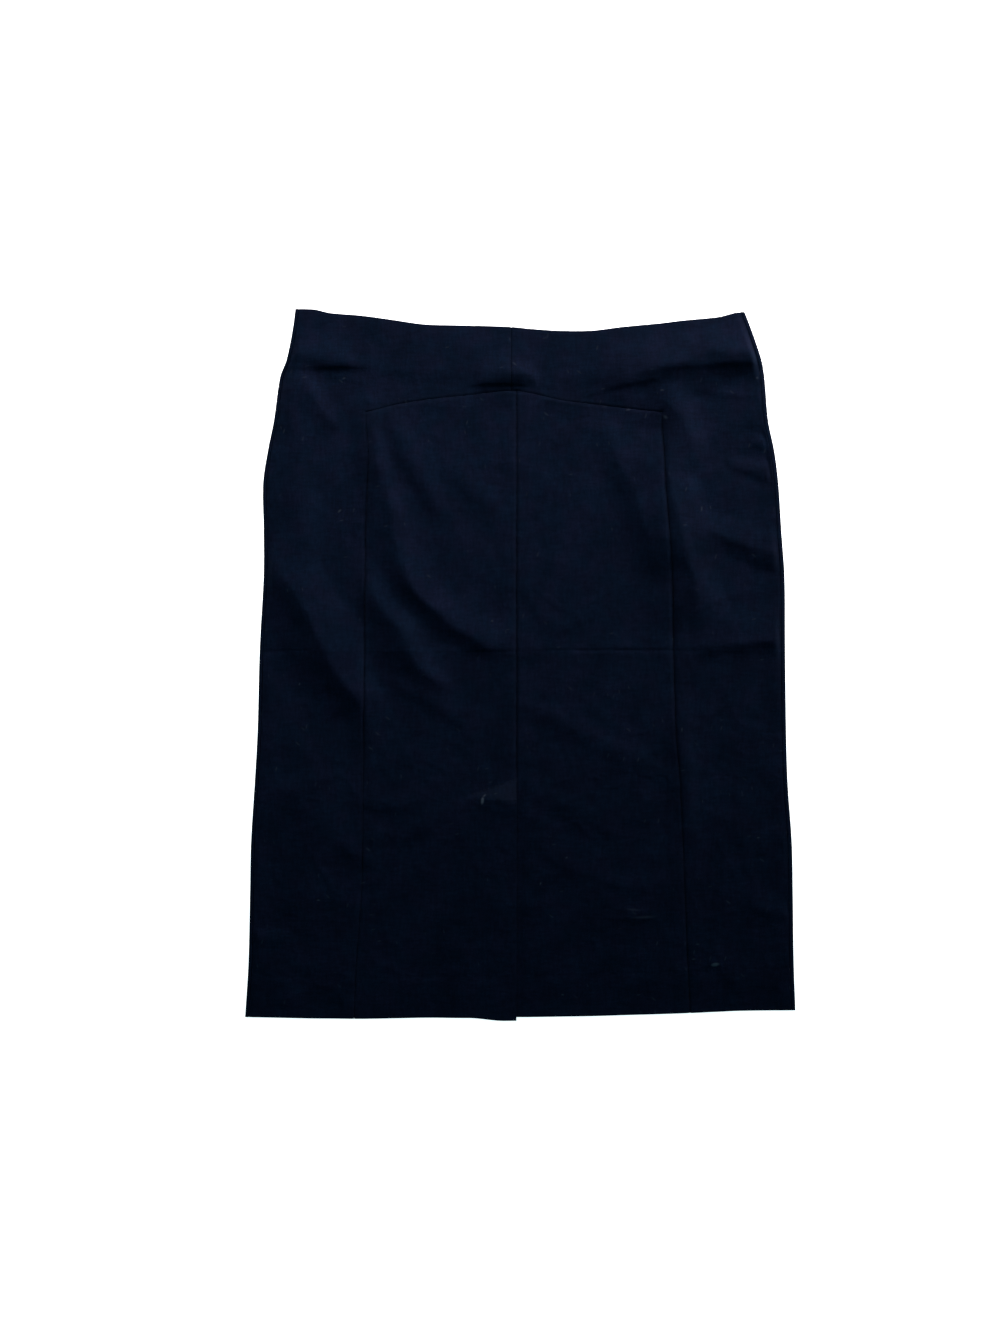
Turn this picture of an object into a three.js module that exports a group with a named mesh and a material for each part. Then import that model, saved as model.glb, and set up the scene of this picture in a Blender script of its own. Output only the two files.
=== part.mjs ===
import * as THREE from 'three';

// Pencil skirt of dark stretch-woven cloth, laid flat with its back up, its waist towards +Y.
// Millimetres. X runs across the skirt, Y from hem to waist, Z up from the surface it lies on.
// The front is one piece that rolls up round both side edges; the back is sewn from four pieces.

// Cloth
const clothWall = 1.2;
const bandWall = 1.6;
const seamGap = 0.3;
const layerGap = 0.6;
const clothColour = '#0a111e';
const clothRoughness = 0.88;

// Doubled bands: the turned-up hem and the faced waist, each thinning to one layer over a ledge
const hemDepth = 37;
const waistBandDepth = 47;
const hemLedgeWidth = 40;
const waistLedgeWidth = 14;

// Side rolls: how far the front shows past each side seam, and the air inside the roll
const rollAir = 1.2;
const rollReach = 2.4;
const leftSeamInset = 3.2;
const rightSeamInset = 3.9;
const rollRiseReach = 7;
const frontInset = 1.5;

// Centre back: the yoke's seam, the seam below it, and the vent whose left edge lies over the right
const yokeCentre = -8.0;
const backCentre = -3.2;
const ventTop = -98;
const ventWidth = 40;
const ventSlope = 0.35;
const ventRampWidth = 19;
const ventSideRamp = 34;
const ventBlendWidth = 26;
const ventBulge = 2.0;
const ventBulgeReach = 45;
const ventCornerDrop = 2.7;
const ventCornerReach = 42;
const ventCornerEnd = 10;

// Edges and upright seams at each height, the seams going on as guide lines above the yoke seam
const sections = table(
  ['y', 'leftEdge', 'leftSeam', 'rightSeam', 'rightEdge'],
  [307, -195.5, -126, 121, 194.6],
  [290, -197.9, -128, 121, 201.1],
  [265, -203.0, -131, 122, 209.4],
  [250, -208.6, -133, 122, 212.1],
  [212, -214.1, -134, 123, 215.4],
  [186, -219.3, -131.5, 124.7, 220.7],
  [158, -223.4, -132.5, 126.0, 224.2],
  [116, -222.9, -134.2, 129.2, 226.9],
  [77, -223.0, -134.7, 132.1, 229.6],
  [15, -226.3, -135.2, 133.0, 230.1],
  [-59, -228.3, -136.0, 135.2, 231.0],
  [-104, -230.8, -136.5, 138.6, 232.4],
  [-154, -233.9, -136.7, 141.0, 235.9],
  [-200, -234.8, -138.0, 142.8, 236.8],
  [-260, -236.2, -142.5, 145.4, 237.6],
  [-306, -239.0, -144.2, 147.6, 239.2],
);

// Lines across the skirt: the waist edge, the arched yoke seam and the hem edge
const crossings = table(
  ['x', 'waist', 'yoke', 'hem'],
  [-240, 307.9, 214.0, -305.7],
  [-181, 308.6, 215.0, -307.0],
  [-165, 305.4, 216.0, -307.1],
  [-137, 303.0, 218.6, -307.3],
  [-110, 299.3, 225.4, -306.9],
  [-84, 295.6, 229.8, -306.4],
  [-52, 294.6, 233.4, -306.4],
  [-20, 293.8, 236.8, -306.2],
  [-5, 293.0, 237.7, -306.0],
  [10, 291.5, 235.4, -305.8],
  [36, 289.9, 229.6, -305.4],
  [62, 290.1, 226.4, -305.0],
  [88, 293.2, 222.9, -304.2],
  [120, 296.2, 219.1, -303.3],
  [142, 298.8, 216.0, -302.5],
  [172, 301.8, 215.0, -301.2],
  [190, 305.8, 214.5, -300.4],
  [240, 306.0, 214.0, -299.8],
);

// Soft rises where the back's cloth stands a little off the front
const swells = table(
  ['x', 'y', 'halfWidth', 'halfLength', 'rise'],
  [-78, 95, 52, 105, 0.9],
  [58, 110, 60, 100, 1.2],
  [-180, 60, 34, 120, 0.7],
  [180, 70, 38, 120, 1.0],
  [-95, -120, 62, 70, 1.3],
  [85, -95, 60, 80, 1.4],
  [-185, -190, 36, 70, 0.9],
  [190, -170, 36, 90, 0.8],
  [90, -220, 50, 50, 0.7],
  [-60, 262, 90, 26, 0.7],
  [110, 258, 70, 28, 0.7],
);

// Folds of the back, along a bowed line from one end to the other. Each flank has its own width:
// upper is the flank on the left hand when going from the first end to the second.
const folds = table(
  ['x1', 'y1', 'x2', 'y2', 'bow', 'upper', 'lower', 'rise'],
  [-228, 110, -123, -72, 5, 23, 13, 5.8],
  [-202, 259, -189, 79, 3, 20, 14, 2.3],
  [-198, 263, -153, 197, -2, 11, 16, 2.5],
  [-162, 242, -143, 22, 0, 15, 26, -2.9],
  [-134, 242, -87, 51, -7, 12, 20, 3.4],
  [-137, 48, -101, -69, -8, 12, 18, -1.1],
  [-141, 91, -56, -31, -9, 13, 15, 3.9],
  [-115, 94, -4, 11, -12, 17, 10, 3.9],
  [-96, 169, 7, 37, -27, 13, 13, -1.0],
  [-118, 233, -63, 124, -5, 11, 9, 2.3],
  [-122, -6, -35, -62, -1, 11, 8, 1.1],
  [-63, 180, -5, 105, 1, 12, 10, 1.3],
  [-226, 60, -148, -76, -10, 8, 20, -1.4],
  [-233, -95, -132, -22, -14, 8, 13, -1.8],
  [-212, -93, -134, -176, -3, 26, 24, 1.6],
  [-163, -150, -115, -180, -3, 10, 7, 1.1],
  [-148, -114, -87, -114, -7, 12, 8, 1.1],
  [-113, -156, -49, -117, -2, 9, 7, 1.1],
  [-200, -222, -162, -157, 4, 9, 9, 1.1],
  [67, 218, 125, 65, 6, 34, 14, 2.6],
  [121, 212, 154, 22, 3, 20, 30, 5.5],
  [113, 244, 159, 169, 6, 15, 20, 3.7],
  [170, 282, 189, 22, 0, 56, 24, -3.0],
  [-2, 89, 36, 22, -4, 9, 7, 0.8],
  [17, 25, 90, 72, -5, 9, 7, 0.9],
  [-21, -29, 142, -109, 8, 7, 12, 1.1],
  [0, -97, 99, -152, -3, 9, 7, 0.7],
  [7, -147, 67, -192, -4, 8, 6, 0.7],
  [55, -176, 142, -183, -12, 9, 7, 0.6],
  [69, -215, 121, -215, -3, 7, 6, 0.7],
  [147, -234, 201, -291, 1, 12, 10, 1.0],
  [196, -209, 253, -220, -2, 8, 6, 1.4],
  [-259, -235, -193, -232, -5, 8, 7, 1.3],
  [147, 124, 269, 91, -8, 24, 15, 5.3],
  [144, 13, 269, 22, 1, 24, 8, 2.5],
  [179, 207, 253, 190, -5, 10, 8, 3.2],
  [166, 188, 260, 162, -6, 12, 11, 4.4],
  [132, -79, 182, 8, 2, 10, 9, 0.9],
  [139, -13, 146, -169, 0, 9, 12, 2.0],
  [-243, 273, -134, 261, -1, 14, 8, 3.0],
  [-40, 245, 17, 246, 8, 14, 11, 2.8],
  [62, 234, 253, 272, 14, 24, 22, 6.2],
);

// Crease left across the middle where the skirt was kept folded in half
const foldMark = { y: 12, reach: 24, rise: 1.2 };

// How softly the folds meet the flat cloth, and how far in from the side seams they are whole
const foldSoftness = 0.5;
const sideFadeReach = 9;

// How finely each piece is drawn
const sideColumns = 9;
const yokeColumns = 11;
const centreColumns = 9;
const ventColumns = 4;
const rampColumns = 3;
const frontColumns = 6;
const rollSteps = 5;
const crossingTurns = 6;

function table(names, ...rows) {
  return rows.map((row) => Object.fromEntries(row.map((value, index) => [names[index], value])));
}

// Smooth curve through one column of a table, read at a place in the table's first column
function along(rows, place, column, at) {
  const order = rows[0][place] < rows.at(-1)[place] ? rows : rows.toReversed();
  const last = order.length - 1;
  let low = 0;
  while (low < last - 1 && order[low + 1][place] < at) low += 1;
  const slope = (index) => {
    const before = order[Math.max(0, index - 1)];
    const after = order[Math.min(last, index + 1)];
    return (after[column] - before[column]) / (after[place] - before[place]);
  };
  const start = order[low];
  const end = order[low + 1];
  const span = end[place] - start[place];
  const s = THREE.MathUtils.clamp((at - start[place]) / span, 0, 1);
  const bend = s * (1 - s);
  const straight = start[column] + (end[column] - start[column]) * s * s * (3 - 2 * s);
  return straight + span * bend * (slope(low) * (1 - s) - slope(low + 1) * s);
}

const edgeX = (side, y) => along(sections, 'y', side < 0 ? 'leftEdge' : 'rightEdge', y);
const princessX = (side, y) => along(sections, 'y', side < 0 ? 'leftSeam' : 'rightSeam', y);
const sideSeamX = (side, y) => edgeX(side, y) - side * (side < 0 ? leftSeamInset : rightSeamInset);
const waistY = (x) => along(crossings, 'x', 'waist', x);
const yokeY = (x) => along(crossings, 'x', 'yoke', x);
const hemY = (x) => along(crossings, 'x', 'hem', x);
const smoothstep = THREE.MathUtils.smoothstep;
const lerp = THREE.MathUtils.lerp;

// Stitched top of the vent, level with the seam's end and sloping down to the left
function ventTopY(x) {
  return ventTop - ventSlope * THREE.MathUtils.clamp(backCentre - x, 0, ventWidth);
}

// Level upper end of the underlap, below the stitches by the ramp of cloth that climbs over it
const underlapTopY = () => ventTop - ventRampWidth;

// Thickness of one wall: cloth doubled in the bands, single between them
function wallAt(x, y) {
  const hemHalf = hemLedgeWidth / 2;
  const waistHalf = waistLedgeWidth / 2;
  const pastHem = smoothstep(y - hemY(x), hemDepth - hemHalf, hemDepth + hemHalf);
  const belowWaist = smoothstep(
    waistY(x) - y,
    waistBandDepth - waistHalf,
    waistBandDepth + waistHalf,
  );
  return lerp(bandWall, clothWall, Math.min(pastHem, belowWaist));
}

// Height that one fold adds at a point, whole along its middle and fading out near both ends
function foldRise(fold, x, y) {
  const runX = fold.x2 - fold.x1;
  const runY = fold.y2 - fold.y1;
  const length = Math.hypot(runX, runY);
  const s = ((x - fold.x1) * runX + (y - fold.y1) * runY) / (length * length);
  if (s <= 0 || s >= 1) return 0;
  const across = ((y - fold.y1) * runX - (x - fold.x1) * runY) / length;
  const aside = across - fold.bow * 4 * s * (1 - s);
  const width = aside > 0 ? fold.upper : fold.lower;
  const ends = (1 - (2 * s - 1) ** 4) ** 2;
  return fold.rise * ends * Math.exp(-((aside / width) ** 2));
}

// How far the back's cloth stands off the front: swells, folds and the mark across the middle
function liftAt(x, y) {
  let lift = foldMark.rise * Math.exp(-Math.abs(y - foldMark.y) / foldMark.reach);
  for (const swell of swells) {
    const away = ((x - swell.x) / swell.halfWidth) ** 2 + ((y - swell.y) / swell.halfLength) ** 2;
    lift += swell.rise * Math.exp(-away);
  }
  for (const fold of folds) lift += foldRise(fold, x, y);
  const above = (lift + Math.hypot(lift, foldSoftness)) / 2;
  return above * sideFade(x, y);
}

// Nothing at the side seams, growing to one further in
function sideFade(x, y) {
  const side = Math.sign(x);
  return smoothstep(side * (sideSeamX(side, y) - x), 0, sideFadeReach);
}

// Upper face of the back: two walls with air between them, rising a little to meet the side rolls
function backHeight(x, y) {
  const side = Math.sign(x) || 1;
  const fromSeam = Math.max(0, side * (sideSeamX(side, y) - x));
  const rollRise = (rollAir - layerGap) * Math.exp(-fromSeam / rollRiseReach);
  return 2 * wallAt(x, y) + layerGap + rollRise + liftAt(x, y);
}

// Rise of the left piece over the underlap: by its thickness, and more where the free edge starts
function ventRise(x, y) {
  const start = backCentre - ventWidth;
  const aside = smoothstep(x, start - ventSideRamp, start);
  const ramp = (ventTopY(x) - y) / (ventTopY(x) - underlapTopY());
  const down = Math.max(0, underlapTopY() - y);
  const bulge = ventBulge * smoothstep(x, start, backCentre) * Math.exp(-down / ventBulgeReach);
  return THREE.MathUtils.clamp(ramp, 0, 1) * (aside * wallAt(x, y) + bulge);
}

// Share by which the right piece keeps its own height beside the vent, where its edge dips under
function clearOfVent(x, y) {
  const aside = smoothstep(x, backCentre, backCentre + ventBlendWidth);
  const above = smoothstep(y, underlapTopY(), underlapTopY() + ventBlendWidth);
  return Math.max(aside, above);
}

const underlapHeight = (x, y) => 2 * wallAt(x, y) + seamGap;
const leftBackHeight = (x, y) => backHeight(x, y) + ventRise(x, y);
const rightBackHeight = (x, y) => lerp(underlapHeight(x, y), backHeight(x, y), clearOfVent(x, y));

// Hem of the left centre piece, whose free corner hangs a little lower at the vent
function leftCentreHem(x) {
  const start = backCentre - ventCornerReach;
  return hemY(x) - ventCornerDrop * smoothstep(x, start, backCentre - ventCornerEnd);
}

// Row lines from hem to waist, in blocks of evenly spaced rows between the skirt's own cross lines
function rowLines(hem, yokeShift) {
  const half = waistLedgeWidth / 2;
  const lines = [
    { at: hem, rows: 2 },
    { at: (x) => hemY(x) + hemDepth - hemLedgeWidth / 2, rows: 2 },
    { at: (x) => hemY(x) + hemDepth + hemLedgeWidth / 2, rows: 8 },
    { at: underlapTopY, rows: 2 },
    { at: ventTopY, rows: 28 },
    { at: (x) => yokeY(x) + yokeShift, rows: 2 },
    { at: (x) => waistY(x) - waistBandDepth - half, rows: 1 },
    { at: (x) => waistY(x) - waistBandDepth + half, rows: 3 },
    { at: waistY, rows: 0 },
  ];
  const rows = [];
  lines.slice(0, -1).forEach((line, index) => {
    const next = lines[index + 1];
    for (let step = 0; step < line.rows; step += 1) {
      rows.push((x) => lerp(line.at(x), next.at(x), step / line.rows));
    }
  });
  rows.push(waistY);
  const rowsTo = (count) => lines.slice(0, count).reduce((sum, line) => sum + line.rows, 0);
  return { rows, underlapRow: rowsTo(3), yokeRow: rowsTo(5) };
}

// Where an upright line crosses a row line
function crossing(uprightX, rowY) {
  let y = rowY(uprightX(0));
  for (let turn = 0; turn < crossingTurns; turn += 1) y = rowY(uprightX(y));
  return [uprightX(y), y];
}

// Upright lines evenly spaced from one line to another, the first of them included
function uprights(from, to, count) {
  return Array.from({ length: count }, (_, step) => (y) => lerp(from(y), to(y), step / count));
}

// Grid of outer and inner points on upright and row lines, the inner a wall's thickness below
function panelGrid(uprightLines, rows, height) {
  return rows.map((rowY) => uprightLines.map((uprightX) => {
    const [x, y] = crossing(uprightX, rowY);
    const z = height(x, y);
    return { outer: [x, y, z], inner: [x, y, z - wallAt(x, y)] };
  }));
}

// Closed wall over the cells of a grid that a piece keeps, with a rim wherever they end
function wallGeometry(grid, keeps = () => true) {
  const rowCount = grid.length - 1;
  const columnCount = grid[0].length - 1;
  const kept = (column, row) =>
    column >= 0 && row >= 0 && column < columnCount && row < rowCount && keeps(column, row);
  const positions = [];
  const faces = [];
  const numbers = new Map();
  const vertex = (column, row, face) => {
    const key = `${column},${row},${face}`;
    if (!numbers.has(key)) {
      numbers.set(key, positions.length / 3);
      positions.push(...grid[row][column][face]);
    }
    return numbers.get(key);
  };
  const quad = (a, b, c, d) => faces.push(a, b, c, a, c, d);
  const rim = (c1, r1, c2, r2) => quad(
    vertex(c1, r1, 'inner'),
    vertex(c2, r2, 'inner'),
    vertex(c2, r2, 'outer'),
    vertex(c1, r1, 'outer'),
  );
  for (let row = 0; row < rowCount; row += 1) {
    for (let column = 0; column < columnCount; column += 1) {
      if (!kept(column, row)) continue;
      const corners = [[column, row], [column + 1, row], [column + 1, row + 1], [column, row + 1]];
      quad(...corners.map(([c, r]) => vertex(c, r, 'outer')));
      quad(...corners.toReversed().map(([c, r]) => vertex(c, r, 'inner')));
      if (!kept(column, row - 1)) rim(column, row, column + 1, row);
      if (!kept(column + 1, row)) rim(column + 1, row, column + 1, row + 1);
      if (!kept(column, row + 1)) rim(column + 1, row + 1, column, row + 1);
      if (!kept(column - 1, row)) rim(column, row + 1, column, row);
    }
  }
  const geometry = new THREE.BufferGeometry();
  geometry.setAttribute('position', new THREE.Float32BufferAttribute(positions, 3));
  geometry.setIndex(faces);
  geometry.computeVertexNormals();
  return geometry;
}

function clothPiece(name, geometry) {
  const material = new THREE.MeshStandardMaterial({
    color: clothColour,
    roughness: clothRoughness,
    metalness: 0,
    side: THREE.DoubleSide,
  });
  const mesh = new THREE.Mesh(geometry, material);
  mesh.name = name;
  return mesh;
}

// Half of the yoke and the side panel below it, cut in one: an L that goes round the centre piece
function yokeSide(side) {
  const seamSide = (y) => sideSeamX(side, y) - side * seamGap;
  const princess = (y) => princessX(side, y) + side * seamGap / 2;
  const centre = () => yokeCentre + side * seamGap / 2;
  const { rows, yokeRow } = rowLines(hemY, seamGap / 2);
  const [outerEdge, innerEdge] = side < 0 ? [seamSide, centre] : [centre, seamSide];
  const [first, second] = side < 0 ? [sideColumns, yokeColumns] : [yokeColumns, sideColumns];
  const lines = [
    ...uprights(outerEdge, princess, first),
    ...uprights(princess, innerEdge, second),
    innerEdge,
  ];
  const inYoke = (column) => (side < 0 ? column >= first : column < first);
  const grid = panelGrid(lines, rows, backHeight);
  const name = side < 0 ? 'yoke_side_left' : 'yoke_side_right';
  return clothPiece(name, wallGeometry(grid, (column, row) => row >= yokeRow || !inYoke(column)));
}

// Left centre back piece, which lies over the right one's underlap from the vent down
function centreBackLeft() {
  const princess = (y) => princessX(-1, y) + seamGap / 2;
  const rampStart = () => backCentre - ventWidth - ventSideRamp;
  const rampEnd = () => backCentre - ventWidth - seamGap;
  const centre = () => backCentre - seamGap / 2;
  const lines = [
    ...uprights(princess, rampStart, centreColumns - rampColumns),
    ...uprights(rampStart, rampEnd, rampColumns),
    ...uprights(rampEnd, centre, ventColumns),
    centre,
  ];
  const { rows, yokeRow } = rowLines(leftCentreHem, -seamGap / 2);
  const grid = panelGrid(lines, rows.slice(0, yokeRow + 1), leftBackHeight);
  return clothPiece('centre_back_left', wallGeometry(grid));
}

// Right centre back piece, with the vent's underlap in one, passing below the left piece
function centreBackRight() {
  const underlapEdge = () => backCentre - ventWidth;
  const centre = () => backCentre + seamGap / 2;
  const princess = (y) => princessX(1, y) - seamGap / 2;
  const lines = [
    ...uprights(underlapEdge, centre, ventColumns),
    ...uprights(centre, princess, centreColumns + ventColumns),
    princess,
  ];
  const { rows, underlapRow, yokeRow } = rowLines(hemY, -seamGap / 2);
  const grid = panelGrid(lines, rows.slice(0, yokeRow + 1), rightBackHeight);
  return clothPiece(
    'centre_back_right',
    wallGeometry(grid, (column, row) => column >= ventColumns || row < underlapRow),
  );
}

// One side's roll as seen from the hem: from the seam on top, out, down and under to the flat
function rollSection(side, y) {
  const wall = wallAt(sideSeamX(side, y), y);
  const height = 2 * wall + rollAir;
  const centreX = edgeX(side, y) - side * rollReach;
  const points = [{
    outer: [sideSeamX(side, y), y, height],
    inner: [sideSeamX(side, y), y, height - wall],
  }];
  for (let step = 0; step <= rollSteps; step += 1) {
    const turn = Math.PI * step / rollSteps;
    const ring = (reach, rise) =>
      [centreX + side * reach * Math.sin(turn), y, height / 2 + rise * Math.cos(turn)];
    points.push({
      outer: ring(rollReach, height / 2),
      inner: ring(rollReach - wall, height / 2 - wall),
    });
  }
  return points;
}

// Front panel: flat on the surface, rolling up round both edges to the side seams on top
function frontPanel() {
  const { rows } = rowLines(hemY, 0);
  const grid = rows.map((rowY, index) => {
    const isHem = index === 0;
    const isWaist = index === rows.length - 1;
    const inset = frontInset * (isHem - isWaist);
    const rollAt = (side) => {
      const [, y] = crossing((height) => edgeX(side, height), rowY);
      return rollSection(side, y);
    };
    const right = rollAt(1);
    const left = rollAt(-1).toReversed();
    const flat = Array.from({ length: frontColumns - 1 }, (_, step) => {
      const x = lerp(right.at(-1).outer[0], left[0].outer[0], (step + 1) / frontColumns);
      const y = rowY(x) + inset;
      return { outer: [x, y, 0], inner: [x, y, wallAt(x, rowY(x))] };
    });
    return [...right, ...flat, ...left];
  });
  return clothPiece('front_panel', wallGeometry(grid));
}

const skirt = new THREE.Group();
skirt.add(
  frontPanel(),
  yokeSide(-1),
  yokeSide(1),
  centreBackLeft(),
  centreBackRight(),
);

export default skirt;
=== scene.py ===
"""Pencil skirt of near-black navy stretch-woven cloth, laid flat with its back up on a pale floor."""

from collections import namedtuple
import math

import bpy
import numpy as np
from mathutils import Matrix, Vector


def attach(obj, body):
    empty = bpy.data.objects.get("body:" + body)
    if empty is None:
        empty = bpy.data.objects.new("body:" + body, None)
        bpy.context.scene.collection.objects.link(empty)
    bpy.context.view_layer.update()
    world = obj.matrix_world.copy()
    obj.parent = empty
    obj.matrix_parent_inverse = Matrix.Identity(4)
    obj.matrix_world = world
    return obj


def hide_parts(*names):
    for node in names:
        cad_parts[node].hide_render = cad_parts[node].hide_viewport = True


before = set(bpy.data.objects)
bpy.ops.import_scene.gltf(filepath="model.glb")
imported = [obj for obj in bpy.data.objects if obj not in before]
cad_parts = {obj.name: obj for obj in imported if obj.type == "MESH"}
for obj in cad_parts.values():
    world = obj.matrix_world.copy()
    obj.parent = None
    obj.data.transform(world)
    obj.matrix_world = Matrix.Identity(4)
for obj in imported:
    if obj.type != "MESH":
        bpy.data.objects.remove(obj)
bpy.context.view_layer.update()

# The skirt's form is worked out in millimetres and made in metres.
# X runs across the skirt, Y from hem to waist, Z up from the floor.
# A span is a pair of places, between which something fades in or out.
MM = 0.001

# Cloth and seams
CLOTH_WALL = 1.2
BAND_WALL = 1.6
SEAM_GAP = 0.3
LAYER_GAP = 0.6
CLEARANCE = 0.1
HEM_DEPTH = 37
WAIST_BAND_DEPTH = 47
HEM_LEDGE_WIDTH = 40
WAIST_LEDGE_WIDTH = 14
EDGE_HALF_RIM = 0.06

# Side rolls, where the front comes round to the side seams on top
ROLL_AIR = 1.2
ROLL_REACH = 2.4
LEFT_SEAM_INSET = 3.2
RIGHT_SEAM_INSET = 3.9
ROLL_RISE_REACH = 7
ROLL_GROOVE = 0.186
ROLL_TOP_SHARES = (0.35, 0.8)
ROLL_STEPS = 16
FRONT_INSET = 1.5
FRONT_COLUMNS = 60

# Centre back and the vent, whose left edge lies over the right
YOKE_CENTRE = -8.0
BACK_CENTRE = -3.2
VENT_TOP = -98
VENT_WIDTH = 40
VENT_SLOPE = 0.35
VENT_RAMP_WIDTH = 19
VENT_SIDE_RAMP = 34
VENT_SIDE_EASE = 22
VENT_BLEND_WIDTH = 26
VENT_EDGE_BLEND = 10
VENT_BULGE = 2.0
VENT_BULGE_REACH = 45
VENT_CORNER_DROP = 2.7
VENT_CORNER_REACH = 42
VENT_CORNER_END = 10

# Folds: how softly they meet the flat cloth, and how far they stay from the side seams
FOLD_SOFTNESS = 0.5
SIDE_FADE = 5.5
MARK_Y = 12
MARK_REACH = 24
MARK_RISE = 1.2

# Unevenness of the folds: how far their lines stray, and the share by which their height varies
FOLD_SWAY = 3.0
SWAY_CELL = 34
SWAY_FINE_CELL = 15
FOLD_WAVER = 0.22
WAVER_CELL = 26

# Ridges that sharpen the crests of folds higher and wider than the least
CREST_LEAST = 2.2
CREST_LEAST_WIDTH = 24
CREST_REACH = 4.5
CREST_SHARE = 0.13

# Grooves at the seams: depth and reach of the deepest, and the depths of others as shares of it
GROOVE_DEPTH = 0.62
GROOVE_REACH = 1.3
GROOVE_BROAD_REACH = 2.1
GROOVE_BROAD_SPAN = (-60, 20)
GROOVE_LOW_SHARE = 0.6
GROOVE_LOW_SPAN = (-140, -40)
SIDE_SEAM_SHARE = 0.15
YOKE_SEAM_SHARE = 0.6
YOKE_CENTRE_SHARE = 0.5
LEFT_SEAM_SHARE = 0.5
LEFT_SEAM_TOP_SPAN = (150, 190)
LEFT_SEAM_LOW_SPAN = (-110, -40)
RIGHT_CORNER_SHARE = 0.4
SEAM_CORNER_REACH = 16

# Pressed seam allowances and the small puckers along the thread, each side of a seam with its own
ALLOWANCE_RISE = 0.176
ALLOWANCE_SPAN = (9.5, 14.5)
PUCKER_RISE = 0.12
PUCKER_REACH = 7
PUCKER_CELL = 5.5
PUCKER_BROAD_CELL = 27.5
NEAR_ROW = 100.0
FAR_ROW = 300.0
BROAD_ROW_STEP = 50
PUCKER_SEED = 40
PUCKER_BROAD_SEED = 60

# Blind stitches that catch the hem's turned edge
STITCH_PITCH = 8
STITCH_DIP = 0.084
STITCH_DIP_CHANGE = 0.036
STITCH_REACH = 1.6
STITCH_INSET = 1.5

# Unevenness of pressed and handled cloth: rises, patch sizes, and how much of it each half shows
LOWER_SPAN = (-120, 20)
BROAD_WAVE = 0.22
BROAD_CELL = 24
MIDDLE_WAVE = 0.13
MIDDLE_CELL = 11
FINE_WAVE = 0.055
FINE_CELL = 5.5
WRINKLE_RISE = 0.34
WRINKLE_CELL = 20
WRINKLE_WIDTH = 0.35
PINCH_RISE = 0.2
PINCH_CELL = 13
PINCH_WIDTH = 0.22
WAVES_UPPER = 0.8
WAVES_LOWER = 1.1
WRINKLES_UPPER = 0.35
WRINKLES_LOWER = 0.75
BAND_SPAN = (-6, 14)
RELIEF_FADE = 0.5

# Stitched top of the vent: its threads, and the patch rubbed pale below them
VENT_STITCH_PITCH = 3.2
VENT_STITCH_LENGTH = 2.4
VENT_STITCH_RADIUS = 0.2
VENT_STITCH_INSET = 0.6
VENT_STITCH_START = 0.8
VENT_STITCH_POINTS = 7
VENT_STITCH_DIP = 2.6
THREAD_SIDES = 6
THREAD_END_SHARE = 0.55
RUB_LEFT_FOOT = 15
RUB_RIGHT_FOOT = 22
RUB_EDGE = 2.5
RUB_STRENGTH = 0.48

# Wear along free edges and beside the seams, and painted shade that darkens the seams
EDGE_WEAR = 0.2
EDGE_WEAR_REACH = 2.0
VENT_EDGE_WEAR_OFF = 3
FRONT_WEAR = 0.5
FRONT_WEAR_REACH = 3
SEAM_WEAR_LOW = 0.04
SEAM_WEAR_HIGH = 0.1
SEAM_WEAR_SPAN = (-150, 0)
SEAM_WEAR_PLACE = 2.2
SEAM_WEAR_SPREAD = 1.5
SEAM_PAINTED_SHADE = 0.36
SEAM_PAINTED_SHADE_REACH = 1.1

# Spacing of the fine grids: beside a line, away from lines, and how fast one grows into the other
FINE_STEP = 0.35
COARSE_STEP = 1.8
STEP_GROWTH = 1.4

# Rows of the grids: distances between the row lines from the hem up, and the numbers of two lines
ROWS_TO_YOKE = [HEM_DEPTH, 155, VENT_RAMP_WIDTH, 112, 215]
ROWS_TO_WAIST = [30, 46]
UNDERLAP_LINE = 2
YOKE_LINE = 5

# Least distance from the yoke seam up to the row line of the waist band's ledge
LEDGE_ABOVE_YOKE = 4

# Columns of the grids: widths of the side panels and of the centre pieces
LEFT_SIDE_WIDTHS = [93, 124]
RIGHT_SIDE_WIDTHS = [133, 91]
LEFT_CENTRE_WIDTHS = [92, VENT_WIDTH]
RIGHT_CENTRE_WIDTHS = [VENT_WIDTH, 137]

# Rounds in which the crossings of curved lines settle
SETTLING_ROUNDS = 8


def table(names, rows):
    """A table with a name for each column, as one array for each name"""
    order = sorted(rows)
    return {name: np.array([row[k] for row in order], float) for k, name in enumerate(names.split())}


# Edges and upright seams at each height
SECTIONS = table("y left_edge left_seam right_seam right_edge", [
    (307, -195.5, -126, 121, 194.6),
    (290, -197.9, -128, 121, 201.1),
    (265, -203.0, -131, 122, 209.4),
    (250, -208.6, -133, 122, 212.1),
    (212, -214.1, -134, 123, 215.4),
    (186, -219.3, -131.5, 124.7, 220.7),
    (158, -223.4, -132.5, 126.0, 224.2),
    (116, -222.9, -134.2, 129.2, 226.9),
    (77, -223.0, -134.7, 132.1, 229.6),
    (15, -226.3, -135.2, 133.0, 230.1),
    (-59, -228.3, -136.0, 135.2, 231.0),
    (-104, -230.8, -136.5, 138.6, 232.4),
    (-154, -233.9, -136.7, 141.0, 235.9),
    (-200, -234.8, -138.0, 142.8, 236.8),
    (-260, -236.2, -142.5, 145.4, 237.6),
    (-306, -239.0, -144.2, 147.6, 239.2),
])

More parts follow.
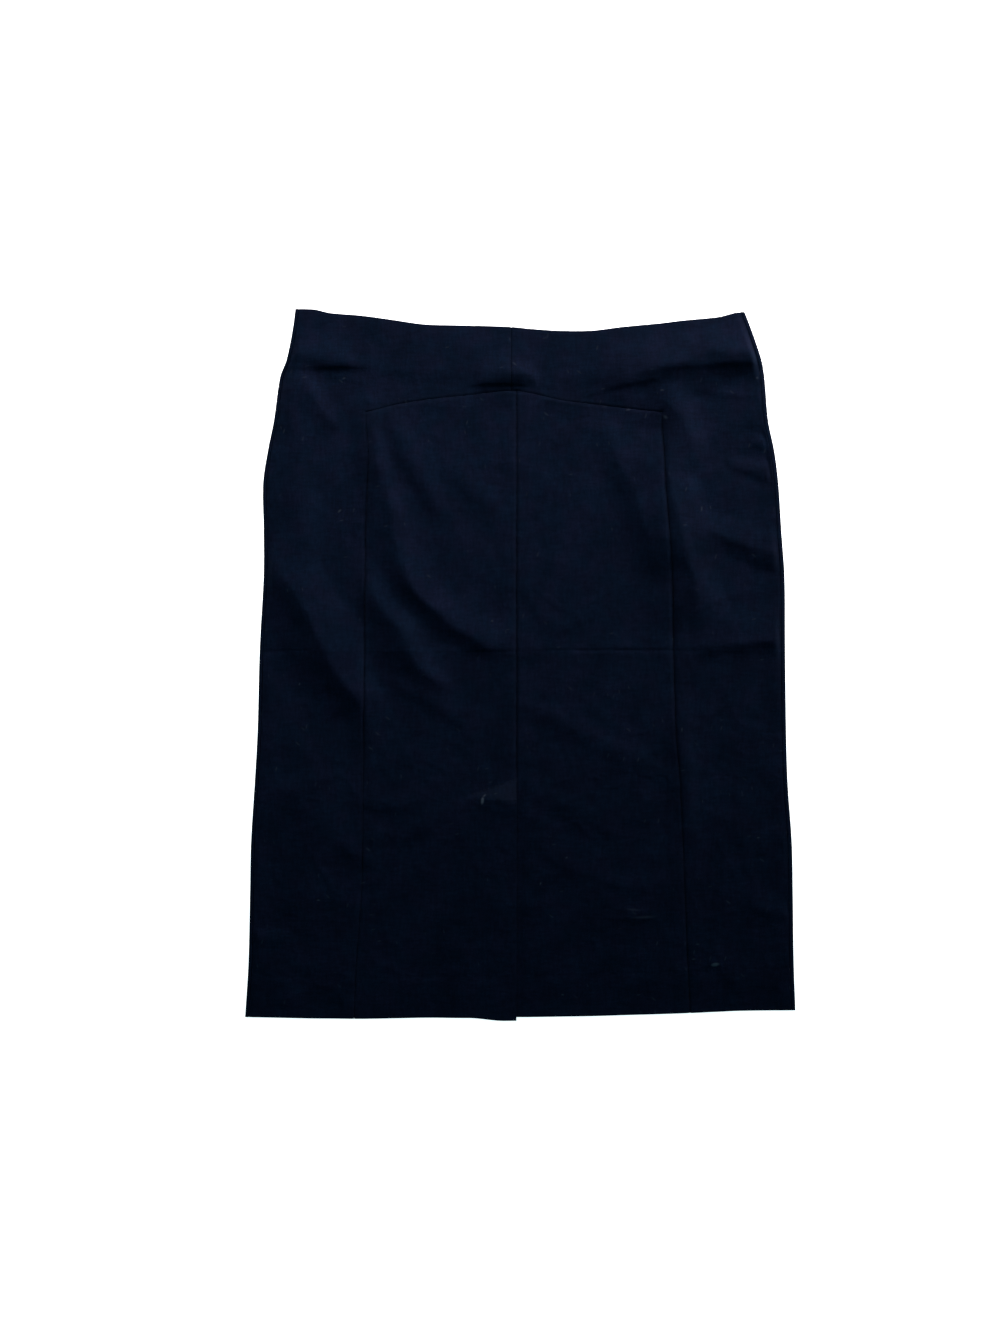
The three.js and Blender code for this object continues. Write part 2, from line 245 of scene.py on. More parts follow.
# Lines across the skirt: the waist edge, the arched yoke seam and the hem edge
CROSSINGS = table("x waist yoke hem", [
    (-240, 307.9, 214.0, -305.7),
    (-181, 308.6, 215.0, -307.0),
    (-165, 305.4, 216.0, -307.1),
    (-137, 303.0, 218.6, -307.3),
    (-110, 299.3, 225.4, -306.9),
    (-84, 295.6, 229.8, -306.4),
    (-52, 294.6, 233.4, -306.4),
    (-20, 293.8, 236.8, -306.2),
    (-5, 293.0, 237.7, -306.0),
    (10, 291.5, 235.4, -305.8),
    (36, 289.9, 229.6, -305.4),
    (62, 290.1, 226.4, -305.0),
    (88, 293.2, 222.9, -304.2),
    (120, 296.2, 219.1, -303.3),
    (142, 298.8, 216.0, -302.5),
    (172, 301.8, 215.0, -301.2),
    (190, 305.8, 214.5, -300.4),
    (240, 306.0, 214.0, -299.8),
])

# Soft rises where the back's cloth stands a little off the front
SWELLS = table("x y half_width half_length rise", [
    (-78, 95, 52, 105, 0.9),
    (58, 110, 60, 100, 1.2),
    (-180, 60, 34, 120, 0.7),
    (180, 70, 38, 120, 1.0),
    (-95, -120, 62, 70, 1.3),
    (85, -95, 60, 80, 1.4),
    (-185, -190, 36, 70, 0.9),
    (190, -170, 36, 90, 0.8),
    (90, -220, 50, 50, 0.7),
    (-60, 262, 90, 26, 0.7),
    (110, 258, 70, 28, 0.7),
])

# Folds along a bowed line from one end to the other, each flank with its own width: upper is the
# flank on the left hand when going from the first end to the second
FOLDS = table("x1 y1 x2 y2 bow upper lower rise", [
    (-228, 110, -123, -72, 5, 23, 13, 5.8),
    (-202, 259, -189, 79, 3, 20, 14, 2.3),
    (-198, 263, -153, 197, -2, 11, 16, 2.5),
    (-162, 242, -143, 22, 0, 15, 26, -2.9),
    (-134, 242, -87, 51, -7, 12, 20, 3.4),
    (-137, 48, -101, -69, -8, 12, 18, -1.1),
    (-141, 91, -56, -31, -9, 13, 15, 3.9),
    (-115, 94, -4, 11, -12, 17, 10, 3.9),
    (-96, 169, 7, 37, -27, 13, 13, -1.0),
    (-118, 233, -63, 124, -5, 11, 9, 2.3),
    (-122, -6, -35, -62, -1, 11, 8, 1.1),
    (-63, 180, -5, 105, 1, 12, 10, 1.3),
    (-226, 60, -148, -76, -10, 8, 20, -1.4),
    (-233, -95, -132, -22, -14, 8, 13, -1.8),
    (-212, -93, -134, -176, -3, 26, 24, 1.6),
    (-163, -150, -115, -180, -3, 10, 7, 1.1),
    (-148, -114, -87, -114, -7, 12, 8, 1.1),
    (-113, -156, -49, -117, -2, 9, 7, 1.1),
    (-200, -222, -162, -157, 4, 9, 9, 1.1),
    (67, 218, 125, 65, 6, 34, 14, 2.6),
    (121, 212, 154, 22, 3, 20, 30, 5.5),
    (113, 244, 159, 169, 6, 15, 20, 3.7),
    (170, 282, 189, 22, 0, 56, 24, -3.0),
    (-2, 89, 36, 22, -4, 9, 7, 0.8),
    (17, 25, 90, 72, -5, 9, 7, 0.9),
    (-21, -29, 142, -109, 8, 7, 12, 1.1),
    (0, -97, 99, -152, -3, 9, 7, 0.7),
    (7, -147, 67, -192, -4, 8, 6, 0.7),
    (55, -176, 142, -183, -12, 9, 7, 0.6),
    (69, -215, 121, -215, -3, 7, 6, 0.7),
    (147, -234, 201, -291, 1, 12, 10, 1.0),
    (196, -209, 253, -220, -2, 8, 6, 1.4),
    (-259, -235, -193, -232, -5, 8, 7, 1.3),
    (147, 124, 269, 91, -8, 24, 15, 5.3),
    (144, 13, 269, 22, 1, 24, 8, 2.5),
    (179, 207, 253, 190, -5, 10, 8, 3.2),
    (166, 188, 260, 162, -6, 12, 11, 4.4),
    (132, -79, 182, 8, 2, 10, 9, 0.9),
    (139, -13, 146, -169, 0, 9, 12, 2.0),
    (-243, 273, -134, 261, -1, 14, 8, 3.0),
    (-40, 245, 17, 246, 8, 14, 11, 2.8),
    (62, 234, 253, 272, 14, 24, 22, 6.2),
])

# Fine creases and sharp marks, in the same form as the folds. The first three soften folds
CREASES = table("x1 y1 x2 y2 bow upper lower rise", [
    (147, 124, 272, 91, -8, 18, 11, -1.1),
    (179, 207, 256, 190, -5, 11, 9, -1.2),
    (166, 188, 264, 162, -6, 13, 11, -1.9),
    (-226, 12, -176, 12, 0, 1.4, 1.8, -0.35),
    (-60, 11, 20, 12, 0, 1.4, 1.8, -0.2),
    (2, 12, 176, 12, 0.5, 1.4, 1.8, -0.45),
    (128, 128, 150, 128, 0, 1.4, 1.6, -0.3),
    (-204, 257, -124, 259, 1, 5, 2.2, 0.7),
    (-176, 254, -132, 246, -1, 3, 2.0, 0.4),
    (-52, 242, 12, 243, 2, 5, 2.2, 0.7),
    (50, 232, 128, 249, 2, 5, 2.2, 0.6),
    (116, 256, 212, 263, 1, 5, 2.4, 0.8),
    (18, 231, 62, 226, -1, 3, 1.8, 0.35),
    (150, 240, 214, 232, -2, 4, 2.4, 0.5),
    (-26, -152, 8, -176, 1, 2.2, 1.8, 0.3),
    (30, -128, 64, -150, 2, 2.4, 1.8, 0.3),
    (-92, -80, -58, -96, 1, 2.6, 2.0, 0.35),
    (-70, -62, -34, -84, 2, 2.4, 2.0, 0.3),
    (70, -220, 128, -222, 1, 2.4, 1.8, 0.35),
    (78, -211, 118, -214, -1, 2.0, 1.8, 0.25),
    (-188, -150, -160, -196, -2, 2.4, 2.0, 0.35),
    (146, 40, 186, 62, 2, 3.0, 2.2, 0.4),
    (150, -60, 190, -30, 3, 3.0, 2.2, 0.4),
    (10, 70, 44, 44, -2, 2.6, 2.0, 0.3),
    (40, 46, 92, 74, -2, 2.6, 2.0, 0.3),
])

# Near-black navy, in linear light: dye, rubbed edges, lint and thread, and the painted shade in the seams
COLOUR_DEEP = (0.0008, 0.0021, 0.0060)
COLOUR_LIGHT = (0.0014, 0.0030, 0.0084)
COLOUR_WORN = (0.006, 0.008, 0.014)
COLOUR_LINT = (0.017, 0.021, 0.029)
COLOUR_THREAD = (0.0011, 0.0024, 0.0066)
SEAM_PAINTED_SHADE_TONE = (0.3, 0.3, 0.36)
WEAR_STRENGTH = 0.35

# Weave: wave scales for yarns about half a millimetre apart, how they wander, and their tones
WARP_SCALE = 620
WEFT_SCALE = 540
YARN_WANDER = {"Distortion": 1.2, "Detail": 1.0, "Detail Scale": 0.6}
WEAVE_RANGE = (0.0, 0.7)
WEAVE_STRENGTH = 0.55
GAP_TONE = (0.55, 0.57, 0.62)
TOP_TONE = (1.2, 1.2, 1.2)

# Uneven patterns: noise cells a metre, detail, and the part of the noise's range that is used
DYE = (34, 4, 0.32, 0.7)
YARN_TONE = (900, 3, 0.3, 0.7)
SLUBS = (1, 2, 0.36, 0.64)
HUE = (60, 3, 0.4, 0.6)
FUZZ = (420, 3)
WEFT_STREAKS = (110, 620, 110)
WARP_STREAKS = (620, 110, 110)
YARN_DARK = (0.72, 0.74, 0.78)
YARN_PALE = (1.22, 1.2, 1.16)
SLUB_THIN = (0.84, 0.86, 0.88)
SLUB_THICK = (1.18, 1.16, 1.14)
HUE_COOL = (0.77, 1.03, 1.0)
HUE_WARM = (1.25, 0.97, 1.0)

# Finishes
CLOTH_FINISH = {
    "Roughness": 0.82,
    "Specular IOR Level": 0.008,
    "Sheen Weight": 0.006,
    "Sheen Roughness": 0.55,
    "Sheen Tint": (0.62, 0.76, 1.0, 1),
}
WEAVE_BUMP = {"Strength": 0.35, "Distance": 0.00012}
FUZZ_BUMP = {"Strength": 0.5, "Distance": 0.00025}
THREAD_FINISH = {"Roughness": 0.6, "Specular IOR Level": 0.015}
PLY_SCALE = 700
PLY_DEPTH = 0.0001
FLOOR_FINISH = {
    "Base Color": (0.9, 0.9, 0.9, 1),
    "Emission Color": (1, 1, 1, 1),
    "Emission Strength": 1.0,
    "Roughness": 0.95,
    "Specular IOR Level": 0.1,
}

# Lint: the turn and the cell of each layer of specks, their shape, how many show and how strongly
LINT_LAYERS = ((12, 13), (74, 15), (-38, 17), (101, 11))
LINT_STRETCH = 3.2
LINT_REACH = 0.055
LINT_CHOICE = 0.84
LINT_STRENGTH = 0.25
MARK_GAIN = 1.6
MARK_HEIGHT = 0.1

# Bits of lint and thread that stand out: place, turn, length and width in millimetres, and strength
MARKS = table("x y angle long wide strength", [
    (169, -260, 10, 8.5, 4.2, 1.0),
    (-32.8, -117.8, 82, 8.0, 3.4, 1.0),
    (-31.2, -113.5, 40, 5.0, 2.0, 0.5),
    (125.6, 214.7, -30, 5.5, 3.4, 0.34),
    (93.5, 221.2, 20, 5.0, 2.6, 0.32),
    (-156.9, 133.5, 40, 5.0, 2.4, 0.4),
    (157.3, 135.2, 85, 6.0, 2.0, 0.3),
    (17.6, -189.8, 70, 4.0, 2.0, 0.4),
    (122.6, 237.7, 0, 4.5, 2.2, 0.3),
    (-153.0, 248.5, 20, 3.5, 2.0, 0.36),
    (206.4, -149.9, 10, 3.6, 2.0, 0.36),
    (-175.1, -204.2, 0, 4.4, 1.8, 0.4),
    (-191.6, -16.7, 60, 3.0, 1.8, 0.4),
    (40.1, -167.3, 30, 3.2, 1.8, 0.36),
    (205.5, 248.9, 0, 3.4, 2.6, 0.34),
    (140.0, -56.2, 85, 5.0, 1.8, 0.34),
    (107.4, -218.9, 3, 26, 3.0, 0.16),
    (98.0, -212.4, -4, 16, 2.6, 0.14),
    (36.7, -286.2, 0, 3.4, 2.0, 0.36),
    (150.4, -255.4, 10, 4.4, 1.8, 0.3),
    (153.9, -242.4, 0, 4.4, 1.8, 0.26),
    (-24.4, 38.0, 0, 2.6, 2.4, 0.3),
])


# A seam as seen from a grid of places: how far away it is, the place along it, the depth of its
# groove as a share of the deepest, the groove's reach, and which places lie beyond it
Seam = namedtuple("Seam", "away place depth reach beyond")


def smoothstep(value, low, high):
    share = np.clip((value - low) / (high - low), 0, 1)
    return share * share * (3 - 2 * share)


def mix(first, second, share):
    return first + (second - first) * share


def along(rows, column, at):
    """Smooth curve through one column of a table, read at places in its first column"""
    places = rows[next(iter(rows))]
    values = rows[column]
    inner = (values[2:] - values[:-2]) / (places[2:] - places[:-2])
    first = (values[1] - values[0]) / (places[1] - places[0])
    last = (values[-1] - values[-2]) / (places[-1] - places[-2])
    slopes = np.concatenate([[first], inner, [last]])
    low = np.clip(np.searchsorted(places, at) - 1, 0, len(places) - 2)
    span = places[low + 1] - places[low]
    share = np.clip((at - places[low]) / span, 0, 1)
    straight = mix(values[low], values[low + 1], share * share * (3 - 2 * share))
    return straight + span * share * (1 - share) * (slopes[low] * (1 - share) - slopes[low + 1] * share)


def patchy(u, v, cell, seed):
    """Smooth uneven field between -1 and 1 with patches about a cell wide"""
    size = 64
    lattice = np.random.default_rng(seed).uniform(-1, 1, (size, size))
    u = u / cell + size * 100
    v = v / cell + size * 100
    i = np.floor(u).astype(int)
    j = np.floor(v).astype(int)
    along_u = smoothstep(u - i, 0, 1)
    along_v = smoothstep(v - j, 0, 1)

    def corner(right, up):
        return lattice[(i + right) % size, (j + up) % size]

    near = mix(corner(0, 0), corner(1, 0), along_u)
    far = mix(corner(0, 1), corner(1, 1), along_u)
    return mix(near, far, along_v)


def edge_x(side, y):
    return along(SECTIONS, "left_edge" if side < 0 else "right_edge", y)


def princess_x(side, y):
    return along(SECTIONS, "left_seam" if side < 0 else "right_seam", y)


def side_seam_x(side, y):
    return edge_x(side, y) - side * (LEFT_SEAM_INSET if side < 0 else RIGHT_SEAM_INSET)


def waist_y(x):
    return along(CROSSINGS, "waist", x)


def yoke_y(x):
    return along(CROSSINGS, "yoke", x)


def hem_y(x):
    return along(CROSSINGS, "hem", x)


def hem_ledge_y(x):
    return hem_y(x) + HEM_DEPTH


def waist_ledge_y(x):
    return waist_y(x) - WAIST_BAND_DEPTH


def mark_y(x):
    return np.full_like(x, MARK_Y)


def vent_top_y(x):
    """Stitched top of the vent, level with the seam's end and sloping down to the left"""
    return VENT_TOP - VENT_SLOPE * np.clip(BACK_CENTRE - x, 0, VENT_WIDTH)


def underlap_top_y(x):
    return np.full_like(x, VENT_TOP - VENT_RAMP_WIDTH)


def left_centre_hem(x):
    """Hem of the left centre piece, whose free corner hangs a little lower"""
    corner = smoothstep(x, BACK_CENTRE - VENT_CORNER_REACH, BACK_CENTRE - VENT_CORNER_END)
    return hem_y(x) - VENT_CORNER_DROP * corner


def inside_side_seams(x, y):
    """Distance in from the nearer side seam"""
    return np.minimum(x - side_seam_x(-1, y), side_seam_x(1, y) - x)


def wall_at(x, y):
    """Thickness of one wall: doubled in the hem and waist bands"""
    half = HEM_LEDGE_WIDTH / 2
    past_hem = smoothstep(y - hem_y(x), HEM_DEPTH - half, HEM_DEPTH + half)
    half = WAIST_LEDGE_WIDTH / 2
    below_waist = smoothstep(waist_y(x) - y, WAIST_BAND_DEPTH - half, WAIST_BAND_DEPTH + half)
    return mix(BAND_WALL, CLOTH_WALL, np.minimum(past_hem, below_waist))


def fold_rises(folds, x, y):
    """Height that a table of folds adds, each fading out towards both of its ends"""
    rise = np.zeros_like(x)
    for x1, y1, x2, y2, bow, upper, lower, height in zip(*folds.values()):
        run_x = x2 - x1
        run_y = y2 - y1
        length = math.hypot(run_x, run_y)
        share = ((x - x1) * run_x + (y - y1) * run_y) / length ** 2
        aside = ((y - y1) * run_x - (x - x1) * run_y) / length
        aside = aside - bow * np.clip(4 * share * (1 - share), 0, None)
        width = np.where(aside > 0, upper, lower)
        ends = np.clip(1 - (2 * share - 1) ** 4, 0, None) ** 2
        rise += height * ends * np.exp(-(aside / width) ** 2)
    return rise


def side_fade(x, y):
    """Nothing at the side seams, growing to one further in"""
    return smoothstep(inside_side_seams(x, y), 0, SIDE_FADE)


def strayed(x, y):
    """Places moved a little, unevenly, so that the lines of the folds waver"""
    sway_x = patchy(x, y, SWAY_CELL, 11) + 0.5 * patchy(x, y, SWAY_FINE_CELL, 12)
    sway_y = patchy(x, y, SWAY_CELL, 13) + 0.5 * patchy(x, y, SWAY_FINE_CELL, 14)
    return x + FOLD_SWAY * sway_x, y + FOLD_SWAY * sway_y


def crests():
    """A narrow ridge along the crest of each high, wide fold, so that it turns more sharply there"""
    high = (FOLDS["rise"] > CREST_LEAST) & (FOLDS["upper"] + FOLDS["lower"] > CREST_LEAST_WIDTH)
    ridges = {name: values[high] for name, values in FOLDS.items()}
    ridges["upper"] = np.full(high.sum(), CREST_REACH)
    ridges["lower"] = np.full(high.sum(), CREST_REACH)
    ridges["rise"] = CREST_SHARE * ridges["rise"]
    return ridges


def lift_at(x, y):
    """How far the back's cloth stands off the front: swells, folds and the mark across the middle"""
    lift = MARK_RISE * np.exp(-np.abs(y - MARK_Y) / MARK_REACH)
    for at_x, at_y, half_width, half_length, rise in zip(*SWELLS.values()):
        lift = lift + rise * np.exp(-((x - at_x) / half_width) ** 2 - ((y - at_y) / half_length) ** 2)
    waver = 1 + FOLD_WAVER * patchy(x, y, WAVER_CELL, 15)
    lift = lift + fold_rises(FOLDS, *strayed(x, y)) * waver
    return (lift + np.hypot(lift, FOLD_SOFTNESS)) / 2 * side_fade(x, y)


def seams_near(x, y):
    """Every seam of the back as seen from the places, with the side seams first"""
    yoke = yoke_y(x)
    left = princess_x(-1, y)
    right = princess_x(1, y)
    above_yoke = np.maximum(0, y - yoke)
    below_yoke = np.maximum(0, yoke - y)
    below_vent_top = np.maximum(0, VENT_TOP - y)
    past_ends = np.maximum(0, np.maximum(left - x, x - right))
    corner = smoothstep(yoke - y, 0, SEAM_CORNER_REACH)
    left_top = mix(1, LEFT_SEAM_SHARE, smoothstep(y, *LEFT_SEAM_TOP_SPAN))
    left_low = mix(LEFT_SEAM_SHARE, 1, smoothstep(y, *LEFT_SEAM_LOW_SPAN))
    even = np.full_like(x, GROOVE_REACH)
    broad = mix(GROOVE_REACH, GROOVE_BROAD_REACH, smoothstep(y, *GROOVE_BROAD_SPAN))
    right_depth = mix(RIGHT_CORNER_SHARE, 1, corner) * broad / GROOVE_REACH
    return [
        Seam(inside_side_seams(x, y), y, SIDE_SEAM_SHARE, even, x > 0),
        Seam(np.hypot(x - left, above_yoke), y, left_top * left_low * corner, even, x > left),
        Seam(np.hypot(x - right, above_yoke), y, right_depth, broad, x > right),
        Seam(np.hypot(y - yoke, past_ends), x, YOKE_SEAM_SHARE, even, y > yoke),
        Seam(np.hypot(x - BACK_CENTRE, above_yoke + below_vent_top), y, 1, even, x > BACK_CENTRE),
        Seam(np.hypot(x - YOKE_CENTRE, below_yoke), y, YOKE_CENTRE_SHARE, even, x > YOKE_CENTRE),
    ]


def seam_relief(x, y):
    """Grooves at the seams, the pressed allowances beside them and the thread's small puckers"""
    rise = np.zeros_like(x)
    lower = mix(GROOVE_LOW_SHARE, 1, smoothstep(y, *GROOVE_LOW_SPAN))
    for number, seam in enumerate(seams_near(x, y)):
        away = np.abs(seam.away)
        groove = GROOVE_DEPTH * seam.depth * lower * np.exp(-(away / seam.reach) ** 2)
        allowance = ALLOWANCE_RISE * (1 - smoothstep(away, *ALLOWANCE_SPAN))
        row = np.where(seam.beyond, FAR_ROW, NEAR_ROW)
        ripple = patchy(seam.place, row, PUCKER_CELL, PUCKER_SEED + number)
        broad_row = row + BROAD_ROW_STEP
        broad = patchy(seam.place, broad_row, PUCKER_BROAD_CELL, PUCKER_BROAD_SEED + number)
        pucker = PUCKER_RISE * ripple * (1 + broad) * np.exp(-away / PUCKER_REACH)
        rise += allowance * (1 + broad / 2) + pucker - groove
    return rise


def hem_relief(x, y):
    """Small dips where the hem's turned edge is caught by blind stitches"""
    away = y - hem_ledge_y(x) + STITCH_INSET
    dip = STITCH_DIP + STITCH_DIP_CHANGE * np.cos(2 * math.pi * x / STITCH_PITCH)
    return -dip * np.exp(-(away / STITCH_REACH) ** 2)


def thin_ridges(u, v, cell, seed, width):
    """Ridges between 0 and 1 along the lines where an uneven field changes sign"""
    return np.clip(1 - np.abs(patchy(u, v, cell, seed)) / width, 0, None)


def small_relief(x, y):
    """Slight unevenness with short soft wrinkles, each field stretched or slanted in its own way"""
    lower = 1 - smoothstep(y, *LOWER_SPAN)
    waves = BROAD_WAVE * patchy(x, y * 0.8, BROAD_CELL, 1)
    waves = waves + MIDDLE_WAVE * patchy(x * 0.9, y, MIDDLE_CELL, 2)
    fine = FINE_WAVE * patchy(x, y * 0.7, FINE_CELL, 4)
    wrinkles = WRINKLE_RISE * thin_ridges(x + 0.4 * y, y - 0.3 * x, WRINKLE_CELL, 3, WRINKLE_WIDTH)
    pinches = PINCH_RISE * thin_ridges(0.6 * x - 0.5 * y, 1.2 * y + 0.5 * x, PINCH_CELL, 5, PINCH_WIDTH)
    waves = waves * mix(WAVES_UPPER, WAVES_LOWER, lower)
    return waves + fine + (wrinkles + pinches) * mix(WRINKLES_UPPER, WRINKLES_LOWER, lower)


def relief(x, y):
    """Fine shape that is sewn and pressed into the back, up from its smooth height"""
    off_bands = smoothstep(np.minimum(waist_y(x) - y, y - hem_y(x)), *BAND_SPAN)
    fine = small_relief(x, y) * off_bands + hem_relief(x, y) + fold_rises(CREASES, x, y)
    fine = fine + fold_rises(crests(), *strayed(x, y))
    return fine * smoothstep(side_fade(x, y), 0, RELIEF_FADE) + seam_relief(x, y)


def back_height(x, y):
    """Upper face of the back: two walls with air between them, rising a little to the side rolls"""
    from_seam = np.clip(inside_side_seams(x, y), 0, None)
    roll_rise = (ROLL_AIR - LAYER_GAP) * np.exp(-from_seam / ROLL_RISE_REACH)
    return 2 * wall_at(x, y) + LAYER_GAP + roll_rise + lift_at(x, y) + relief(x, y)


def vent_rise(x, y):
    """Rise of the left piece over the underlap: by its thickness, and more where the free edge starts"""
    start = BACK_CENTRE - VENT_WIDTH
    aside = smoothstep(x, start - VENT_SIDE_RAMP, start)
    top = vent_top_y(x)
    bottom = underlap_top_y(x)
    pressed = np.clip((top - y) / (top - bottom), 0, 1)
    eased = 1 - smoothstep(y, bottom - VENT_SIDE_EASE, top + VENT_SIDE_EASE)
    ramp = mix(eased, pressed, smoothstep(x, start - VENT_STITCH_PITCH, start))
    down = np.maximum(0, bottom - y)
    bulge = VENT_BULGE * smoothstep(x, start, BACK_CENTRE) * np.exp(-down / VENT_BULGE_REACH)
    return ramp * (aside * wall_at(x, y) + bulge)


def vent_rub(x, y):
    """Patch rubbed pale where the vent's layers press through, just below its stitched top"""
    start = BACK_CENTRE - VENT_WIDTH
    share = smoothstep(x, start, BACK_CENTRE)
    foot = VENT_TOP - mix(RUB_LEFT_FOOT, RUB_RIGHT_FOOT, share)
    within = smoothstep(vent_top_y(x) - y, 0, RUB_EDGE) * smoothstep(y, foot - RUB_EDGE, foot + RUB_EDGE)
    return RUB_STRENGTH * within * smoothstep(x, start - RUB_EDGE, start + RUB_EDGE)


def left_back_height(x, y):
    """The left piece, always clear of the underlap below it"""
    height = back_height(x, y) + vent_rise(x, y)
    lowest = 3 * wall_at(x, y) + SEAM_GAP + CLEARANCE
    over = (x > BACK_CENTRE - VENT_WIDTH) & (y < underlap_top_y(x))
    return np.where(over, np.maximum(height, lowest), height)


def right_back_height(x, y):
    """The right piece dips beside the vent, where its edge passes under the left one"""
    aside = smoothstep(x, BACK_CENTRE, BACK_CENTRE + VENT_EDGE_BLEND)
    above = smoothstep(y, underlap_top_y(x), underlap_top_y(x) + VENT_BLEND_WIDTH)
    under = 2 * wall_at(x, y) + SEAM_GAP
    return mix(under, back_height(x, y), np.maximum(aside, above))


def spaced(length):
    """Places from 0 to 1 along a stretch, closest together at both of its ends"""
    steps = []
    step = FINE_STEP
    while sum(steps) < length / 2:
        steps.append(step)
        step = min(COARSE_STEP, step * STEP_GROWTH)
    half = np.cumsum(steps) / (2 * sum(steps))
    return np.concatenate([[0], half, 1 - half[-2::-1], [1]])


def rungs(lengths):
    """Places on a row of lines: whole numbers on the lines and fractions between them"""
    parts = [spaced(length)[:-1] + number for number, length in enumerate(lengths)]
    return np.concatenate([*parts, [len(lengths)]])


def between(lines, places, at):
    """Values at places on a row of lines, each line a function of the other coordinate"""
    low = np.minimum(places.astype(int), len(lines) - 2)
    values = np.stack([line(at) for line in lines])
    before = np.take_along_axis(values, low[None], 0)[0]
    after = np.take_along_axis(values, low[None] + 1, 0)[0]
    return mix(before, after, places - low)


def crossings(columns, column_places, rows, row_places):
    """Points where a piece's upright lines cross its rows"""
    shape = (len(row_places), len(column_places))
    across = np.broadcast_to(column_places, shape)
    up = np.broadcast_to(row_places[:, None], shape)
    x = np.zeros(shape)
    y = np.zeros(shape)
    for _ in range(SETTLING_ROUNDS):
        x = between(columns, across, y)
        y = between(rows, up, x)
    return x, y


def rounded(free, wall):
    """How far a free edge is drawn in from each face, so that it is round in section"""
    radius = wall / 2
    share = np.clip(free / radius, 0, 1)
    drawn_in = radius * (1 - np.sqrt(np.clip(1 - (1 - share) ** 2, 0, 1)))
    return np.minimum(drawn_in, radius - EDGE_HALF_RIM)


def add_mesh(name, points, faces, material):
    """A smooth piece of the skirt, on its one body"""
    mesh = bpy.data.meshes.new(name)
    mesh.from_pydata(points, [], faces)
    mesh.polygons.foreach_set("use_smooth", np.ones(len(faces), bool))
    made = bpy.data.objects.new(name, mesh)
    bpy.context.scene.collection.objects.link(made)
    mesh.materials.append(material)
    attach(made, "root")
    return made


def shell_faces(keeps):
    """Faces of a closed shell over the kept cells of a grid, with a rim wherever they end"""
    rows = keeps.shape[0] + 1
    columns = keeps.shape[1] + 1
    count = rows * columns
    number = np.arange(count).reshape(rows, columns)
    a = number[:-1, :-1]
    b = number[:-1, 1:]
    c = number[1:, 1:]
    d = number[1:, :-1]
    quads = np.stack([a, b, c, d], -1)[keeps]
    faces = [quads, quads[:, ::-1] + count]
    around = np.pad(keeps, 1)
    sides = [
        (a, b, around[:-2, 1:-1]),
        (b, c, around[1:-1, 2:]),
        (c, d, around[2:, 1:-1]),
        (d, a, around[1:-1, :-2]),
    ]
    for start, end, neighbour in sides:
        rim = keeps & ~neighbour
        first = start[rim]
        second = end[rim]
        faces.append(np.stack([first + count, second + count, second, first], -1))
    return np.concatenate(faces)


def piece(name, outer, inner, keeps, tones):
    """A cut piece as a closed shell between two grids of points, with tones that colour its cloth: wear,
    and painted shade in the seams
    """
    points = np.concatenate([outer.reshape(-1, 3), inner.reshape(-1, 3)]) * MM
    faces = shell_faces(keeps)
    used, renumbered = np.unique(faces, return_inverse=True)
    made = add_mesh(name, points[used].tolist(), renumbered.reshape(faces.shape).tolist(), CLOTH)
    for tone, values in tones.items():
        attribute = made.data.attributes.new(tone, "FLOAT", "POINT")
        attribute.data.foreach_set("value", np.tile(values.ravel(), 2)[used])
    made.data.update()
    return made


def back_piece(name, grid, height, keeps, free):
    """A piece of the back over a grid of places, its free edges rounded"""
    x, y = grid
    wall = wall_at(x, y)
    drawn_in = rounded(free, wall)
    top = height(x, y)
    outer = np.stack([x, y, top - drawn_in], -1)
    inner = np.stack([x, y, np.maximum(top - wall + drawn_in, wall + CLEARANCE)], -1)
    seams = seams_near(x, y)[1:]
    away = np.min([np.abs(seam.away) for seam in seams], 0)
    beside = mix(SEAM_WEAR_LOW, SEAM_WEAR_HIGH, smoothstep(y, *SEAM_WEAR_SPAN))
    beside = beside * np.exp(-(away - SEAM_WEAR_PLACE) ** 2 / SEAM_WEAR_SPREAD)
    wear = np.maximum(EDGE_WEAR * np.exp(-free / EDGE_WEAR_REACH), beside)
    if height is left_back_height:
        wear = np.maximum(wear, vent_rub(x, y))
    # Painted shade: the cloth colour is darkened along each seam's groove, where shade falls in the narrow
    # gap
    grooves = [seam.depth * np.exp(-(seam.away / SEAM_PAINTED_SHADE_REACH) ** 2) for seam in seams]
    shade = SEAM_PAINTED_SHADE * np.max(grooves, 0)
    return piece(name, outer, inner, keeps, {"edge_wear": wear, "seam_painted_shade": shade})


def row_ladder(hem, yoke_shift, to_waist):
    """Row lines of a piece, and the places on them that its grid takes"""
    def yoke(x):
        return yoke_y(x) + yoke_shift

    def ledge_or_yoke(x):
        return np.maximum(waist_ledge_y(x), yoke(x) + LEDGE_ABOVE_YOKE)

    lines = [hem, hem_ledge_y, underlap_top_y, vent_top_y, mark_y, yoke]
    if not to_waist:
        return lines, rungs(ROWS_TO_YOKE)
    return lines + [ledge_or_yoke, waist_y], rungs(ROWS_TO_YOKE + ROWS_TO_WAIST)


def upright(x):
    """A straight upright line at one place across the skirt"""
    return lambda y: np.full_like(y, x)


def princess_line(side, shift):
    """The line beside a princess seam"""
    return lambda y: princess_x(side, y) + shift


